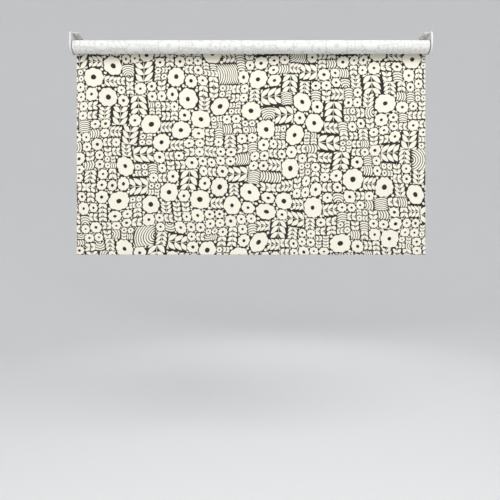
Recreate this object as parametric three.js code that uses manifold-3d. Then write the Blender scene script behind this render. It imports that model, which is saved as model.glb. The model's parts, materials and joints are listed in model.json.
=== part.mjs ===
// A cordless spring roller blind for a window recess: two steel brackets with clip-on covers, an
// aluminium tube with the spring and brake inside its left end and a sprung pin in its right end,
// a printed cloth wound on the tube, and a weighted hem.
//
// Millimetres. +X runs along the roller, +Y points at the window, +Z is up. Everything is drawn
// about the roller's axis, and the finished group is moved so that its origin is on the left
// bracket's top fixing face, straight above that axis.
import * as THREE from 'three';
import { mergeVertices } from 'three/addons/utils/BufferGeometryUtils.js';
import Module from 'manifold-3d';

const wasm = await Module();
wasm.setup();

// ---------------------------------------------------------------- driving dimensions

const CLEAR = 0.3; // gap left between pieces that touch or are fitted together
const RUNNING_GAP = 0.4; // end play between the turning roller and what stays still

const FABRIC_WIDTH = 972;
const FABRIC_THICKNESS = 0.32;
const HEM_DROP = 571; // roller axis to the bottom of the hem
const WOUND_LENGTH = 960; // cloth left on the roller at this drop

const TUBE_RADIUS = 14;
const TUBE_WALL = 1.2;
const GROOVE_MOUTH = 3; // the tube's groove that grips the cloth's top edge
const GROOVE_WIDTH = 5.2;
const GROOVE_LIP = 1;
const GROOVE_DEPTH = 2.6;

const BRACKET_GAUGE = 1.5;
const BRACKET_REACH = 20; // length of the top and back fixing flanges along the roller
const HEADROOM = 18.6; // roll to the top fixing face
const NOSE_MARGIN = 3.2; // how far the round nose stands out past the roll
const TOP_CORNER = 10;
const TOP_FLANGE_FRONT = 9; // front edge of the top flange, ahead of the roller axis
const BACK_FLANGE_FOOT = 4; // lower edge of the back flange, above the roller axis
const FLANGE_CORNER = 3;
const SLOT_WIDTH = 4.6;
const SLOT_LENGTH = 7.5;
const SLOT_INSET = 8; // slot centre to the flange's free end
const SLOT_FRONT_GAP = 5; // front slot's centre to the top flange's front edge
const SLOT_BACK_GAP = 7.2; // back slot's centre to the back fixing face
const NOSE_STEPS = 32; // facets along each arc of the bracket's outline
const COVER_WALL = 1.2;
const COVER_OVERHANG = 1; // how far the cover's rim passes the plate's inner face
const CLIP_DEPTH = 1; // hold of the cover's clips over the plate's edge
const CLIP_LENGTH = 7;
const CLIP_ANGLES = [180, 225, 270]; // round the nose, degrees

const PLUG_FLANGE = 1.2;
const PLUG_LENGTH = 34;
const PLUG_SHELL = 1.6;
const PLUG_FLOOR = 3;
const PLUG_HUB = 2.2;
const PLUG_RIBS = 6;
const RIB_THICKNESS = 1.6;
const BITE = 1; // how far joined shapes run into each other, and cutters past what they cut
const WASHER_THICKNESS = 0.8;
const WASHER_WIDTH = 5;

const SPINDLE_RADIUS = 4;
const SPINDLE_LENGTH = 272; // past the end of the tube
const BLADE_WIDTH = 6.8;
const BLADE_THICKNESS = 2.3;
const BUSH_WALL = 2.7;

const BRAKE_DRUM_WALL = 2.7;
const BRAKE_DRUM_LENGTH = 12;
const BRAKE_WIRE = 1;
const BRAKE_TURNS = 5;
const BRAKE_SPACING = 6; // free length each side of the brake inside the tube

const SPRING_WIRE = 1.8;
const SPRING_TURNS = 18;
const COLLAR_WALL = 2.2;
const COLLAR_LENGTH = 14;
const ANCHOR_LENGTH = 20;
const ANCHOR_BOSS = 12;
const CLIP_RING_THICKNESS = 0.8;
const CLIP_RING_WIDTH = 3;
const CLIP_GROOVE_DEPTH = 1;
const CLIP_OPENING = 60; // degrees

const PIN_RADIUS = 3;
const PIN_LENGTH = 40;
const PIN_TIP = 1.35; // radius of the pin's flat tip
const PIN_SHOULDER = 2.55; // radius halfway along its rounding
const PIN_ROUNDING = 1.5;
const PIN_COLLAR_HEIGHT = 2.6;
const PIN_COLLAR_LENGTH = 2;
const PIN_GUIDE = 8; // length of the bore that guides the pin
const PIN_SPRING_WIRE = 0.8;
const PIN_SPRING_LENGTH = 19.5;
const PIN_SPRING_TURNS = 6;
const RETAINER_LENGTH = 4.5;
const BUSH_FLANGE = 2.2;
const BRACKET_BUSH_WALL = 1.8;

const HEM_HEIGHT = 40;
const WELD_BAND = 9;
const BAR_HEIGHT = 26;
const BAR_THICKNESS = 4;
const BAR_WALL = 0.9;
const BAR_CAP = 2.5;
const CAP_TONGUE = 12;
const HEM_WALL_GAP = 3.65; // behind the hem, clear of the back flanges

const SIDES = 48; // facets round the large turned pieces
const ROLL_SIDES = 64;
const SMALL_SIDES = 32; // facets round bushes, rings and bores
const SPINDLE_SIDES = 24;
const WIRE_SIDES = 6;
const STEPS_PER_TURN = 12;
const CORNER_STEPS = 4; // facets in a small rounded corner
const HEM_STEPS = 10; // facets round the bottom of the hem
const BAR_STEPS = 6; // facets in each of the bar's corners

// ---------------------------------------------------------------- sizes worked out from them

const halfWidth = FABRIC_WIDTH / 2;
const tubeBore = TUBE_RADIUS - TUBE_WALL;
const woundFrom = TUBE_RADIUS + CLEAR;
const rollRadius = Math.sqrt(woundFrom ** 2 + (WOUND_LENGTH * FABRIC_THICKNESS) / Math.PI);
const axisDrop = rollRadius + HEADROOM;

const sheetFront = rollRadius + CLEAR;
const sheetBack = sheetFront + FABRIC_THICKNESS;
const hemBack = sheetBack + CLEAR + BAR_THICKNESS + CLEAR + FABRIC_THICKNESS;
const hemTop = HEM_HEIGHT - HEM_DROP;
const backFace = hemBack + HEM_WALL_GAP + BRACKET_GAUGE;

// Distances from the middle of the blind along X, the same on the left and on the right.
const plugFace = halfWidth + CLEAR + PLUG_FLANGE;
const washerIn = plugFace + RUNNING_GAP;
const washerOut = washerIn + WASHER_THICKNESS;
const plateIn = washerOut + CLEAR;
const plateOut = plateIn + BRACKET_GAUGE;
const coverIn = plateOut + CLEAR;
const coverOut = coverIn + COVER_WALL;
const flangeEnd = plateOut - BRACKET_REACH;

const coverNose = rollRadius + NOSE_MARGIN;
const plateNose = coverNose - COVER_WALL - CLEAR;

const plugRadius = tubeBore - CLEAR;
const spindleBore = SPINDLE_RADIUS + CLEAR;
const bushRadius = spindleBore + BUSH_WALL;
const pinBore = PIN_RADIUS + CLEAR;
const pinCollar = PIN_RADIUS + PIN_COLLAR_HEIGHT;
const pinHouse = pinCollar + CLEAR;

// A coil's wire runs in straight steps whose middles touch its radius, so its corners stand out.
const coilBulge = 1 / Math.cos(Math.PI / STEPS_PER_TURN);

const LEFT = -1;
const RIGHT = 1;

// ---------------------------------------------------------------- finishes

const WHITE_STEEL = { color: 0xe9e9e7, roughness: 0.45, metalness: 0.1 };
const ZINC_STEEL = { color: 0xb4b7ba, roughness: 0.35, metalness: 1 };
const SPRING_STEEL = { color: 0x6f7276, roughness: 0.4, metalness: 1 };
const MILL_ALUMINIUM = { color: 0xc9ccce, roughness: 0.4, metalness: 1 };
const WHITE_PLASTIC = { color: 0xf1f1ef, roughness: 0.4, metalness: 0 };
const NATURAL_NYLON = { color: 0xe4e0d2, roughness: 0.5, metalness: 0 };
const GREY_PLASTIC = { color: 0x8f9296, roughness: 0.55, metalness: 0 };
const PRINTED_CLOTH = { color: 0xd9d5c6, roughness: 0.9, metalness: 0 };
const CLOTH_BACK = { color: 0xf4f4f1, roughness: 0.85, metalness: 0 };

// ---------------------------------------------------------------- shared makers

// A shape's (x, y) become world (Y, Z), and the extrusion runs along X.
const shapeToWorld = new THREE.Matrix4().makeBasis(
  new THREE.Vector3(0, 1, 0), new THREE.Vector3(0, 0, 1), new THREE.Vector3(1, 0, 0));

// A lathe's radius and height become world Z and X.
const latheToWorld = new THREE.Matrix4().makeBasis(
  new THREE.Vector3(0, 0, 1), new THREE.Vector3(1, 0, 0), new THREE.Vector3(0, 1, 0));

/** A shape in the (Y, Z) plane run along X, between two distances on one side of the middle. */
function prism(shape, side, from, to, curveSegments = 12) {
  const depth = Math.abs(to - from);
  const body = new THREE.ExtrudeGeometry(shape, { depth, bevelEnabled: false, curveSegments });
  body.applyMatrix4(shapeToWorld);
  body.translate(Math.min(side * from, side * to), 0, 0);
  return body;
}

/** A body turned about the roller's axis from a closed outline of [distance, radius] points. */
function turned(side, outline, sides = SIDES) {
  const points = outline.map(([distance, radius]) => new THREE.Vector2(radius, side * distance));
  if (THREE.ShapeUtils.area(points) < 0) points.reverse();
  if (points[0].x > 0 || points.at(-1).x > 0) points.push(points[0].clone());
  return new THREE.LatheGeometry(points, sides).applyMatrix4(latheToWorld);
}

/** A plain ring or sleeve about the roller's axis. */
function sleeve(side, from, to, inner, outer, sides = SIDES) {
  return turned(side, [[from, inner], [from, outer], [to, outer], [to, inner]], sides);
}

/** A round cutter for a bore between two distances. */
function bore(side, from, to, radius) {
  return turned(side, [[from, 0], [from, radius], [to, radius], [to, 0]], SMALL_SIDES);
}

/** A box given by its two corners. */
function block(x0, x1, y0, y1, z0, z1) {
  const body = new THREE.BoxGeometry(Math.abs(x1 - x0), Math.abs(y1 - y0), Math.abs(z1 - z0));
  return body.translate((x0 + x1) / 2, (y0 + y1) / 2, (z0 + z1) / 2);
}

/** A closed geometry as a solid that can be joined and cut. */
function solid(geometry) {
  const bare = geometry.clone();
  bare.deleteAttribute('normal');
  bare.deleteAttribute('uv');
  const merged = mergeVertices(bare, 1e-4);
  const corners = [];
  for (let i = 0; i < merged.index.count; i += 3) {
    const [a, b, c] = [0, 1, 2].map((k) => merged.index.getX(i + k));
    if (a !== b && b !== c && c !== a) corners.push(a, b, c);
  }
  const vertProperties = Float32Array.from(merged.attributes.position.array);
  const triVerts = Uint32Array.from(corners);
  return new wasm.Manifold(new wasm.Mesh({ numProp: 3, vertProperties, triVerts }));
}

/** A solid back as a geometry for a mesh. */
function surface(body) {
  const mesh = body.getMesh();
  const geometry = new THREE.BufferGeometry();
  geometry.setAttribute('position', new THREE.BufferAttribute(mesh.vertProperties, 3));
  geometry.setIndex(new THREE.BufferAttribute(mesh.triVerts, 1));
  geometry.computeVertexNormals();
  return geometry;
}

/** One geometry with others joined to it and others cut out of it. */
function fashioned(base, joined = [], cut = []) {
  let body = solid(base);
  for (const piece of joined) body = body.add(solid(piece));
  for (const piece of cut) body = body.subtract(solid(piece));
  return surface(body);
}

/** A closed coil of round wire about the roller's axis. */
class CoilPath extends THREE.Curve {
  constructor(from, to, radius, turns) {
    super();
    Object.assign(this, { from, to, radius, turns });
  }

  getPoint(t, target = new THREE.Vector3()) {
    const angle = 2 * Math.PI * this.turns * t;
    const x = THREE.MathUtils.lerp(this.from, this.to, t);
    const reach = this.radius * coilBulge;
    return target.set(x, reach * Math.cos(angle), reach * Math.sin(angle));
  }
}

function coil(from, to, radius, turns, wire, sides = WIRE_SIDES) {
  const section = new THREE.Shape();
  for (let i = 0; i < sides; i += 1) {
    const angle = (2 * Math.PI * i) / sides;
    const point = [(wire / 2) * Math.cos(angle), (wire / 2) * Math.sin(angle)];
    if (i === 0) section.moveTo(...point);
    else section.lineTo(...point);
  }
  const extrudePath = new CoilPath(from, to, radius, turns);
  const steps = Math.round(turns * STEPS_PER_TURN);
  return new THREE.ExtrudeGeometry(section, { steps, bevelEnabled: false, extrudePath });
}

/** A flat plate drawn in the (X, Y) plane, standing up from z = 0. */
function flatPlate(shape, depth) {
  return new THREE.ExtrudeGeometry(shape, {
    depth, bevelEnabled: false, curveSegments: CORNER_STEPS,
  });
}

/** A rectangle with round ends or corners, centred on a point. */
function roundedRectangle(x, y, width, height, radius) {
  const [left, right] = [x - width / 2, x + width / 2];
  const [bottom, top] = [y - height / 2, y + height / 2];
  const r = Math.min(radius, width / 2 - 0.01, height / 2 - 0.01);
  const shape = new THREE.Shape();
  shape.moveTo(left + r, bottom);
  shape.absarc(right - r, bottom + r, r, -Math.PI / 2, 0, false);
  shape.absarc(right - r, top - r, r, 0, Math.PI / 2, false);
  shape.absarc(left + r, top - r, r, Math.PI / 2, Math.PI, false);
  shape.absarc(left + r, bottom + r, r, Math.PI, 1.5 * Math.PI, false);
  return shape;
}

// ---------------------------------------------------------------- the blind

const blind = new THREE.Group();

function add(name, geometry, finish) {
  const mesh = new THREE.Mesh(geometry, new THREE.MeshStandardMaterial({ ...finish }));
  mesh.name = name;
  blind.add(mesh);
}

// ---- brackets and their covers

// Below the back flange the plate's edge runs down in a straight line that just meets the nose.
const slopeAngle = Math.atan2(BACK_FLANGE_FOOT, backFace)
  - Math.acos(plateNose / Math.hypot(backFace, BACK_FLANGE_FOOT));

/** The bracket's side outline, offset outwards by grow, with its top and back edges as given. */
function bracketOutline(grow, top, back) {
  const nose = plateNose + grow;
  const corner = TOP_CORNER + grow;
  const cornerY = TOP_CORNER - plateNose;
  const cornerZ = axisDrop - TOP_CORNER;
  const cos = Math.cos(slopeAngle);
  const sin = Math.sin(slopeAngle);
  const run = (nose * cos - back) / sin;
  const shape = new THREE.Shape();
  shape.moveTo(back, nose * sin + run * cos);
  shape.lineTo(back, top);
  shape.lineTo(cornerY, top);
  shape.absarc(cornerY, cornerZ, corner, Math.PI / 2, Math.PI, false);
  shape.absarc(0, 0, nose, Math.PI, 2 * Math.PI + slopeAngle, false);
  return shape;
}

/** A fixing slot through a flange, running along X. */
function fixingSlot(side, y, z, upright) {
  const x = side * (flangeEnd + SLOT_INSET);
  const outline = roundedRectangle(0, 0, SLOT_LENGTH, SLOT_WIDTH, SLOT_WIDTH / 2);
  const depth = 4 * BRACKET_GAUGE;
  const cutter = flatPlate(outline, depth);
  cutter.translate(0, 0, -depth / 2);
  if (upright) cutter.rotateX(Math.PI / 2);
  return cutter.translate(x, y, z);
}

/** A flat flange drawn in the (X, Y) plane between two Y values, with rounded corners. */
function flange(side, y0, y1) {
  const length = plateOut - flangeEnd;
  const x = (side * (plateOut + flangeEnd)) / 2;
  return flatPlate(roundedRectangle(x, (y0 + y1) / 2, length, y1 - y0, FLANGE_CORNER),
    BRACKET_GAUGE);
}

function bracket(side, seat) {
  const plate = prism(bracketOutline(0, axisDrop, backFace), side, plateIn, plateOut,
    NOSE_STEPS);
  const topFlange = flange(side, -TOP_FLANGE_FRONT, backFace);
  topFlange.translate(0, 0, axisDrop - BRACKET_GAUGE);
  const backFlange = flange(side, BACK_FLANGE_FOOT, axisDrop);
  backFlange.rotateX(Math.PI / 2).translate(0, backFace, 0);
  // The flanges' outer corners are square where they fold out of the plate and into each other.
  const root = side * (plateOut - 2 * FLANGE_CORNER);
  const end = side * plateOut;
  const folds = [
    block(root, end, -TOP_FLANGE_FRONT, backFace, axisDrop - BRACKET_GAUGE, axisDrop),
    block(root, end, backFace - BRACKET_GAUGE, backFace, BACK_FLANGE_FOOT, axisDrop),
    block(side * (flangeEnd + FLANGE_CORNER), end, backFace - 2 * FLANGE_CORNER, backFace,
      axisDrop - BRACKET_GAUGE, axisDrop),
    block(side * (flangeEnd + FLANGE_CORNER), end, backFace - BRACKET_GAUGE, backFace,
      axisDrop - 2 * FLANGE_CORNER, axisDrop),
  ];
  const slots = [
    fixingSlot(side, SLOT_FRONT_GAP - TOP_FLANGE_FRONT, axisDrop, false),
    fixingSlot(side, backFace - SLOT_BACK_GAP, axisDrop, false),
    fixingSlot(side, backFace, (BACK_FLANGE_FOOT + axisDrop) / 2, true),
  ];
  return fashioned(plate, [topFlange, backFlange, ...folds], [seat, ...slots]);
}

/** A clip inside the cover's rim, at an angle round the nose, that holds behind the plate's edge. */
function coverClip(side, angle) {
  const inner = plateNose - CLIP_DEPTH;
  const outer = plateNose + CLEAR + COVER_WALL / 2;
  const clip = block(side * (plateIn - COVER_OVERHANG), side * (plateIn - CLEAR),
    inner, outer, -CLIP_LENGTH / 2, CLIP_LENGTH / 2);
  return clip.rotateX(angle);
}

function bracketCover(side) {
  const rimIn = plateIn - COVER_OVERHANG;
  const grow = CLEAR + COVER_WALL;
  const outside = prism(bracketOutline(grow, axisDrop + grow, backFace), side, rimIn, coverOut,
    NOSE_STEPS);
  const inside = prism(bracketOutline(CLEAR, axisDrop + 2 * grow, backFace + grow), side,
    rimIn - BITE, coverIn, NOSE_STEPS);
  const aboveTop = block(side * (rimIn - BITE), side * (coverOut + BITE),
    -2 * backFace, 2 * backFace, axisDrop - CLEAR, axisDrop + 4 * grow);
  const behindBack = block(side * (rimIn - BITE), side * (coverOut + BITE),
    backFace - CLEAR, backFace + 4 * grow, -2 * backFace, 2 * axisDrop);
  const clips = CLIP_ANGLES.map((angle) => coverClip(side, THREE.MathUtils.degToRad(angle)));
  const tray = fashioned(outside, [], [inside, aboveTop, behindBack]);
  return fashioned(tray, clips, []);
}

const bladeSeat = block(LEFT * (plateIn - BITE), LEFT * (plateOut + BITE),
  -BLADE_THICKNESS / 2 - CLEAR, BLADE_THICKNESS / 2 + CLEAR,
  -BLADE_WIDTH / 2 - CLEAR, BLADE_WIDTH / 2 + CLEAR);
const bracketBushRadius = pinBore + BRACKET_BUSH_WALL;
const bushSeat = bore(RIGHT, plateIn - BITE, plateOut + BITE, bracketBushRadius + CLEAR);

add('left_bracket', bracket(LEFT, bladeSeat), WHITE_STEEL);
add('right_bracket', bracket(RIGHT, bushSeat), WHITE_STEEL);
add('left_bracket_cover', bracketCover(LEFT), WHITE_PLASTIC);
add('right_bracket_cover', bracketCover(RIGHT), WHITE_PLASTIC);
add('right_bracket_bush', turned(RIGHT, [
  [washerIn, pinBore],
  [washerIn, bracketBushRadius + BUSH_FLANGE],
  [washerOut, bracketBushRadius + BUSH_FLANGE],
  [washerOut, bracketBushRadius],
  [plateOut, bracketBushRadius],
  [plateOut, pinBore],
], SMALL_SIDES), NATURAL_NYLON);

// ---- spindle, which stays still in the left bracket, and what is fixed to it

const bladeReach = Math.hypot(BLADE_WIDTH, BLADE_THICKNESS) / 2;
const brakeFrom = halfWidth - PLUG_LENGTH - BRAKE_SPACING;
const brakeTo = brakeFrom - BRAKE_DRUM_LENGTH;
const collarFrom = brakeTo - BRAKE_SPACING;
const collarTo = collarFrom - COLLAR_LENGTH;
const spindleEnd = halfWidth - SPINDLE_LENGTH;
const clipGroove = spindleEnd + 2 * CLIP_RING_WIDTH;
const anchorEnd = clipGroove + CLIP_RING_THICKNESS + RUNNING_GAP;
const anchorFrom = anchorEnd + ANCHOR_LENGTH;

function spindle() {
  const grooveFloor = SPINDLE_RADIUS - CLIP_GROOVE_DEPTH;
  const rod = turned(LEFT, [
    [plugFace, 0],
    [plugFace, SPINDLE_RADIUS],
    [clipGroove + CLIP_RING_THICKNESS + CLEAR, SPINDLE_RADIUS],
    [clipGroove + CLIP_RING_THICKNESS + CLEAR, grooveFloor],
    [clipGroove - CLEAR, grooveFloor],
    [clipGroove - CLEAR, SPINDLE_RADIUS],
    [spindleEnd + 1, SPINDLE_RADIUS],
    [spindleEnd, SPINDLE_RADIUS - 1],
    [spindleEnd, 0],
  ], SPINDLE_SIDES);
  const blade = block(LEFT * (plugFace - BITE), LEFT * plateOut,
    -BLADE_THICKNESS / 2, BLADE_THICKNESS / 2, -BLADE_WIDTH / 2, BLADE_WIDTH / 2);
  return fashioned(rod, [blade]);
}

function retainingClip() {
  const inner = SPINDLE_RADIUS - CLIP_GROOVE_DEPTH + CLEAR;
  const outer = inner + CLIP_RING_WIDTH;
  const half = THREE.MathUtils.degToRad(CLIP_OPENING / 2);
  const shape = new THREE.Shape();
  shape.absarc(0, 0, outer, half, 2 * Math.PI - half, false);
  shape.absarc(0, 0, inner, 2 * Math.PI - half, half, true);
  return prism(shape, LEFT, clipGroove, clipGroove + CLIP_RING_THICKNESS, SMALL_SIDES);
}

const drumRadius = spindleBore + BRAKE_DRUM_WALL;
const collarRadius = spindleBore + COLLAR_WALL;
const washerBore = bladeReach + CLEAR;

add('spindle', spindle(), ZINC_STEEL);
add('thrust_washer', sleeve(LEFT, washerIn, washerOut, washerBore, washerBore + WASHER_WIDTH,
  SMALL_SIDES),
  NATURAL_NYLON);
add('brake_drum', sleeve(LEFT, brakeTo, brakeFrom, spindleBore, drumRadius, SMALL_SIDES), ZINC_STEEL);
add('spring_collar', sleeve(LEFT, collarTo, collarFrom, spindleBore, collarRadius, SMALL_SIDES),
  ZINC_STEEL);
add('spindle_clip', retainingClip(), SPRING_STEEL);

// ---- tube, cloth fixing and the wound cloth

/** The tube's closed outline at one radius, stepping into the groove at the top. */
function groovedCircle(path, radius, halfMouth, halfGroove, lip, floor) {
  const mouth = Math.asin(halfMouth / radius);
  path.absarc(0, 0, radius, Math.PI / 2 + mouth, 2.5 * Math.PI - mouth, false);
  if (lip) {
    path.lineTo(halfMouth, lip);
    path.lineTo(halfGroove, lip);
  }
  path.lineTo(halfGroove, floor);
  path.lineTo(-halfGroove, floor);
  if (lip) {
    path.lineTo(-halfGroove, lip);
    path.lineTo(-halfMouth, lip);
  }
  return path;
}

const grooveFloor = TUBE_RADIUS - GROOVE_DEPTH;
const keyHalf = GROOVE_WIDTH / 2 + TUBE_WALL;
const keyFloor = grooveFloor - TUBE_WALL;

function rollerTube() {
  const outline = groovedCircle(new THREE.Shape(), TUBE_RADIUS,
    GROOVE_MOUTH / 2, GROOVE_WIDTH / 2, TUBE_RADIUS - GROOVE_LIP, grooveFloor);
  outline.holes.push(groovedCircle(new THREE.Path(), tubeBore, keyHalf, keyHalf, 0, keyFloor));
  return prism(outline, RIGHT, -halfWidth, halfWidth, SIDES);
}

function fixingSpline() {
  const base = GROOVE_WIDTH / 2 - CLEAR;
  const stem = GROOVE_MOUTH / 2 - CLEAR;
  const shoulder = TUBE_RADIUS - GROOVE_LIP - CLEAR;
  const shape = new THREE.Shape();
  shape.moveTo(-base, grooveFloor + CLEAR);
  shape.lineTo(base, grooveFloor + CLEAR);
  shape.lineTo(base, shoulder);
  shape.lineTo(stem, shoulder);
  shape.lineTo(stem, TUBE_RADIUS - CLEAR);
  shape.lineTo(-stem, TUBE_RADIUS - CLEAR);
  shape.lineTo(-stem, shoulder);
  shape.lineTo(-base, shoulder);
  return prism(shape, RIGHT, -halfWidth, halfWidth);
}

add('roller_tube', rollerTube(), MILL_ALUMINIUM);
add('fixing_spline', fixingSpline(), NATURAL_NYLON);
add('fabric_roll', sleeve(RIGHT, -halfWidth, halfWidth, woundFrom, rollRadius, ROLL_SIDES),
  CLOTH_BACK);

// ---- plugs and rings that turn with the tube

/** The slot down a plug or ring that clears the back of the tube's groove. */
function keyway(side, from, to) {
  return block(side * from, side * to, -keyHalf - CLEAR, keyHalf + CLEAR,
    keyFloor - CLEAR, 2 * TUBE_RADIUS);
}

/** An end plug: an outer shell and a hub joined by a floor and ribs, with a flange outside. */
function endPlug(side, hubRadius, bores) {
  const inner = halfWidth - PLUG_LENGTH;
  const floor = halfWidth - PLUG_FLOOR;
  const body = turned(side, [
    [inner, plugRadius - PLUG_SHELL],
    [inner, plugRadius],
    [halfWidth + CLEAR, plugRadius],
    [halfWidth + CLEAR, TUBE_RADIUS - CLEAR],
    [plugFace, TUBE_RADIUS - CLEAR],
    [plugFace, 0],
    [inner, 0],
    [inner, hubRadius],
    [floor, hubRadius],
    [floor, plugRadius - PLUG_SHELL],
  ]);
  const ribs = [];
  for (let i = 0; i < PLUG_RIBS; i += 1) {
    const rib = block(side * inner, side * (floor + BITE), hubRadius - BITE,
      plugRadius - PLUG_SHELL + BITE, -RIB_THICKNESS / 2, RIB_THICKNESS / 2);
    ribs.push(rib.rotateX((i * 2 * Math.PI) / PLUG_RIBS));
  }
  return fashioned(body, ribs, [...bores, keyway(side, inner - BITE, halfWidth + CLEAR / 2)]);
}

/** A ring that fits the tube's bore and clears the groove. */
function tubeRing(side, from, to, inner) {
  const slot = keyway(side, from - BITE, to + BITE);
  return fashioned(sleeve(side, from, to, inner, plugRadius), [], [slot]);
}

const plugInner = halfWidth - PLUG_LENGTH;
const plugBushBore = bore(LEFT, plugInner - BITE, plugFace + BITE, bushRadius + CLEAR);
add('spring_end_plug', endPlug(LEFT, bushRadius + CLEAR + PLUG_HUB, [plugBushBore]),
  WHITE_PLASTIC);
add('spindle_bush', sleeve(LEFT, plugInner, plugFace, spindleBore, bushRadius, SMALL_SIDES),
  NATURAL_NYLON);

const brakeRadius = drumRadius + CLEAR + BRAKE_WIRE / 2;
const brakeHouse = brakeRadius * coilBulge + BRAKE_WIRE / 2 + CLEAR;
add('brake_spring', coil(LEFT * (brakeTo + BRAKE_WIRE), LEFT * (brakeFrom - BRAKE_WIRE),
  brakeRadius, BRAKE_TURNS, BRAKE_WIRE), SPRING_STEEL);
add('brake_housing', tubeRing(LEFT, brakeTo - BITE, brakeFrom + BITE, brakeHouse), GREY_PLASTIC);

const springRadius = collarRadius + CLEAR + SPRING_WIRE / 2;
const bossEnd = anchorFrom + ANCHOR_BOSS;
add('torsion_spring', coil(LEFT * (anchorFrom + SPRING_WIRE), LEFT * (collarFrom - SPRING_WIRE / 2),
  springRadius, SPRING_TURNS, SPRING_WIRE), SPRING_STEEL);

function springAnchor() {
  const body = turned(LEFT, [
    [anchorEnd, spindleBore],
    [anchorEnd, plugRadius],
    [anchorFrom, plugRadius],
    [anchorFrom, collarRadius],
    [bossEnd, collarRadius],
    [bossEnd, spindleBore],
  ]);
  return fashioned(body, [], [keyway(LEFT, anchorEnd - BITE, anchorFrom + BITE)]);
}

add('spring_anchor', springAnchor(), GREY_PLASTIC);

// ---- idle end: a sprung pin that drops into the right bracket's bush

const guideEnd = plugFace - PIN_GUIDE;
const pinCollarFace = guideEnd - CLEAR;
const pinCollarBack = pinCollarFace - PIN_COLLAR_LENGTH;
const pinSpringFrom = pinCollarBack - CLEAR;
const pinSpringTo = pinSpringFrom - PIN_SPRING_LENGTH;
const retainerFace = pinSpringTo - CLEAR;

add('idle_end_plug', endPlug(RIGHT, pinHouse + PLUG_HUB, [
  bore(RIGHT, guideEnd - BITE, plugFace + BITE, pinBore),
  bore(RIGHT, plugInner - BITE, guideEnd, pinHouse),
]), WHITE_PLASTIC);

const pinTip = plateOut;
add('idle_pin', turned(RIGHT, [
  [pinTip, 0],
  [pinTip, PIN_TIP],
  [pinTip - 0.4 * PIN_ROUNDING, PIN_SHOULDER],
  [pinTip - PIN_ROUNDING, PIN_RADIUS],
  [pinCollarFace, PIN_RADIUS],
  [pinCollarFace, pinCollar],
  [pinCollarBack, pinCollar],
  [pinCollarBack, PIN_RADIUS],
  [pinTip - PIN_LENGTH, PIN_RADIUS],
  [pinTip - PIN_LENGTH, 0],
], SPINDLE_SIDES), ZINC_STEEL);

const pinSpringRadius = (PIN_RADIUS + pinCollar) / 2 + CLEAR / 2;
add('idle_pin_spring', coil(pinSpringTo + PIN_SPRING_WIRE / 2, pinSpringFrom - PIN_SPRING_WIRE / 2,
  pinSpringRadius, PIN_SPRING_TURNS, PIN_SPRING_WIRE), SPRING_STEEL);
add('idle_pin_retainer', sleeve(RIGHT, retainerFace - RETAINER_LENGTH, retainerFace,
  pinBore, pinHouse - CLEAR, SMALL_SIDES), GREY_PLASTIC);

// ---- hanging cloth, hem and weight bar

/** The hem's section: flat at the front, round at the bottom, folded back to a weld at the top. */
function hemSection(path, inset) {
  const front = sheetFront + inset;
  const back = hemBack - inset;
  const round = (back - front) / 2;
  const weldFoot = hemTop - WELD_BAND;
  const shoulder = -HEM_DROP + BAR_HEIGHT + round;
  path.moveTo(front, -HEM_DROP + inset + round);
  path.absarc((front + back) / 2, -HEM_DROP + inset + round, round, Math.PI, 2 * Math.PI, false);
  path.lineTo(back, shoulder);
  if (inset === 0) {
    path.lineTo(sheetFront + 2 * FABRIC_THICKNESS, weldFoot);
    path.lineTo(sheetFront + 2 * FABRIC_THICKNESS, hemTop);
    path.lineTo(sheetFront, hemTop);
  } else {
    path.lineTo(front, weldFoot);
  }
  return path;
}

function hemPocket() {
  const outline = hemSection(new THREE.Shape(), 0);
  outline.holes.push(hemSection(new THREE.Path(), FABRIC_THICKNESS));
  return prism(outline, RIGHT, -halfWidth, halfWidth, HEM_STEPS);
}

const barBottom = -HEM_DROP + FABRIC_THICKNESS + CLEAR;
const barY = (sheetFront + hemBack) / 2;
const barZ = barBottom + BAR_HEIGHT / 2;
const barEnd = halfWidth - BAR_CAP - 2 * CLEAR;

function barOutline(inset) {
  return roundedRectangle(barY, barZ, BAR_THICKNESS - 2 * inset, BAR_HEIGHT - 2 * inset,
    BAR_THICKNESS / 2 - inset);
}

function bottomBar() {
  const outline = barOutline(0);
  outline.holes.push(barOutline(BAR_WALL));
  return prism(outline, RIGHT, -barEnd, barEnd, BAR_STEPS);
}

function barCap(side) {
  const plate = prism(barOutline(0), side, barEnd + CLEAR, barEnd + CLEAR + BAR_CAP,
    BAR_STEPS);
  const tongue = prism(barOutline(BAR_WALL + CLEAR), side, barEnd - CAP_TONGUE,
    barEnd + CLEAR + BAR_CAP / 2, BAR_STEPS);
  return fashioned(plate, [tongue]);
}

add('fabric_drop', block(-halfWidth, halfWidth, sheetFront, sheetBack, hemTop + CLEAR, 0),
  PRINTED_CLOTH);
add('hem_pocket', hemPocket(), PRINTED_CLOTH);
add('bottom_bar', bottomBar(), MILL_ALUMINIUM);
add('bar_cap_left', barCap(LEFT), WHITE_PLASTIC);
add('bar_cap_right', barCap(RIGHT), WHITE_PLASTIC);

// ---------------------------------------------------------------- origin on the left top face

blind.position.set((plateOut + flangeEnd) / 2, 0, -axisDrop);
blind.updateMatrixWorld(true);

export default blind;
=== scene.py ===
"""The looks of a cordless spring roller blind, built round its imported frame.

Lengths are in metres unless a name ends in _mm. +X runs along the roller, +Y points at the
window and +Z is up. Print and weave are drawn in millimetres of cloth: U across it and V up it.
"""

import json
import logging
import math
from collections.abc import Callable, Iterable, Sequence
from dataclasses import dataclass, field, replace
from enum import Enum
from functools import reduce

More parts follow.
